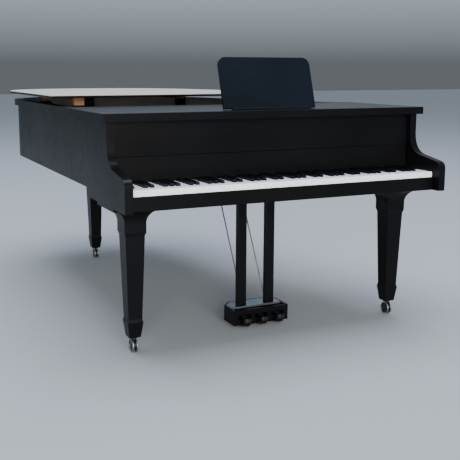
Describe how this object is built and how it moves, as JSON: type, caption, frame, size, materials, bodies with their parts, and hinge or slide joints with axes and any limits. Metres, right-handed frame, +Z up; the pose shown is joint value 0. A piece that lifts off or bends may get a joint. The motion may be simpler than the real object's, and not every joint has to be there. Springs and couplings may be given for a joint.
{
  "type": "miniature grand piano",
  "caption": "Doll's-house grand piano on castered legs, with raised lid, keyboard, hinged fallboard and music desk, and a pedal lyre.",
  "frame": {"origin": "on the floor under the middle of the model's box", "axes": "+Z up, the player sits on the -Y side, +X is the treble end"},
  "size_m": [0.1304, 0.1968, 0.1007],
  "materials": {
    "black_lacquer": "satin black lacquer",
    "desk_lacquer": "satin blue-black lacquer",
    "white_key": "semi-gloss",
    "black_key": "semi-gloss",
    "pale_sheet": "pale satin veneer",
    "bare_wood": "bare planed wood",
    "steel": "satin steel",
    "black_metal": "satin",
    "plate_metal": "satin",
    "caster_plastic": "satin",
    "caster_gloss": "high gloss",
    "grey_primer": "matt grey primer",
    "brass": "satin"
  },
  "bodies": {
    "case": {"rim": "black_lacquer", "rim_band": "black_lacquer", "rim_lining": "grey_primer", "bottom_board": "black_lacquer", "belly_rail": "black_lacquer", "cheek_left": "black_lacquer", "cheek_right": "black_lacquer", "keybed": "black_lacquer", "keyslip": "black_lacquer", "front_deck": "black_lacquer", "front_panel": "black_lacquer", "key_frame": "bare_wood", "white_keys": "white_key", "black_keys": "black_key", "desk_lugs": "brass", "desk_lip": "desk_lacquer", "lid_posts": "black_lacquer", "post_pads": "bare_wood", "leg_front_left": "black_lacquer", "leg_front_right": "black_lacquer", "leg_rear": "black_lacquer", "leg_dowels": "bare_wood", "rear_leg_block": "bare_wood", "caster_sockets": "brass", "lyre_post_left": "black_lacquer", "lyre_post_right": "black_lacquer", "brace_rods": "steel", "pedal_box": "black_lacquer", "pedal_box_plate": "plate_metal", "pedal_axle": "steel"},
    "fallboard": {"fallboard": "black_lacquer", "fallboard_pins": "brass"},
    "music_desk": {"music_desk": "desk_lacquer", "desk_pins": "brass", "desk_knuckles": "brass"},
    "lid": {"lid": "black_lacquer", "lid_top_panel": "pale_sheet"},
    "caster_front_left": {"caster_body_front_left": "caster_plastic"},
    "wheel_front_left": {"caster_wheels_front_left": "steel", "caster_discs_front_left": "caster_gloss", "caster_axle_front_left": "black_metal"},
    "caster_front_right": {"caster_body_front_right": "caster_plastic"},
    "wheel_front_right": {"caster_wheels_front_right": "steel", "caster_discs_front_right": "caster_gloss", "caster_axle_front_right": "black_metal"},
    "caster_rear": {"caster_body_rear": "caster_plastic"},
    "wheel_rear": {"caster_wheels_rear": "steel", "caster_discs_rear": "caster_gloss", "caster_axle_rear": "black_metal"},
    "pedal_left": {"pedal_left": "black_metal"},
    "pedal_middle": {"pedal_middle": "black_metal"},
    "pedal_right": {"pedal_right": "black_metal"}
  },
  "joints": [
    {"name": "fallboard_fold", "type": "hinge", "parent": "case", "child": "fallboard", "pos_m": [0.00105, -0.07815, 0.06042], "axis": [1, 0, 0], "range_deg": [0, 84]},
    {"name": "music_desk_fold", "type": "hinge", "parent": "case", "child": "music_desk", "pos_m": [0.00105, -0.07566, 0.08295], "axis": [-1, 0, 0], "range_deg": [0, 72]},
    {"name": "lid_lift", "type": "slide", "parent": "case", "child": "lid", "axis": [0, 0, 1], "range_m": [0, 0.04]},
    {"name": "caster_swivel_front_left", "type": "hinge", "parent": "case", "child": "caster_front_left", "pos_m": [-0.05235, -0.0782, 0.006], "axis": [0, 0, 1], "continuous": true},
    {"name": "wheel_spin_front_left", "type": "hinge", "parent": "caster_front_left", "child": "wheel_front_left", "pos_m": [-0.05235, -0.0782, 0.0024], "axis": [1, 0, 0], "continuous": true},
    {"name": "caster_swivel_front_right", "type": "hinge", "parent": "case", "child": "caster_front_right", "pos_m": [0.05445, -0.0782, 0.006], "axis": [0, 0, 1], "continuous": true},
    {"name": "wheel_spin_front_right", "type": "hinge", "parent": "caster_front_right", "child": "wheel_front_right", "pos_m": [0.05445, -0.0782, 0.0024], "axis": [1, 0, 0], "continuous": true},
    {"name": "caster_swivel_rear", "type": "hinge", "parent": "case", "child": "caster_rear", "pos_m": [-0.02415, 0.0616, 0.006], "axis": [0, 0, 1], "continuous": true},
    {"name": "wheel_spin_rear", "type": "hinge", "parent": "caster_rear", "child": "wheel_rear", "pos_m": [-0.02415, 0.0616, 0.0024], "axis": [1, 0, 0], "continuous": true},
    {"name": "pedal_press_left", "type": "hinge", "parent": "case", "child": "pedal_left", "pos_m": [0.00105, -0.063, 0.0043], "axis": [1, 0, 0], "range_deg": [0, 2], "stiffness_Nm_per_rad": 0.0002, "springref_deg": -3.44},
    {"name": "pedal_press_middle", "type": "hinge", "parent": "case", "child": "pedal_middle", "pos_m": [0.00105, -0.063, 0.0043], "axis": [1, 0, 0], "range_deg": [0, 2], "stiffness_Nm_per_rad": 0.0002, "springref_deg": -3.44},
    {"name": "pedal_press_right", "type": "hinge", "parent": "case", "child": "pedal_right", "pos_m": [0.00105, -0.063, 0.0043], "axis": [1, 0, 0], "range_deg": [0, 2], "stiffness_Nm_per_rad": 0.0002, "springref_deg": -3.44}
  ]
}
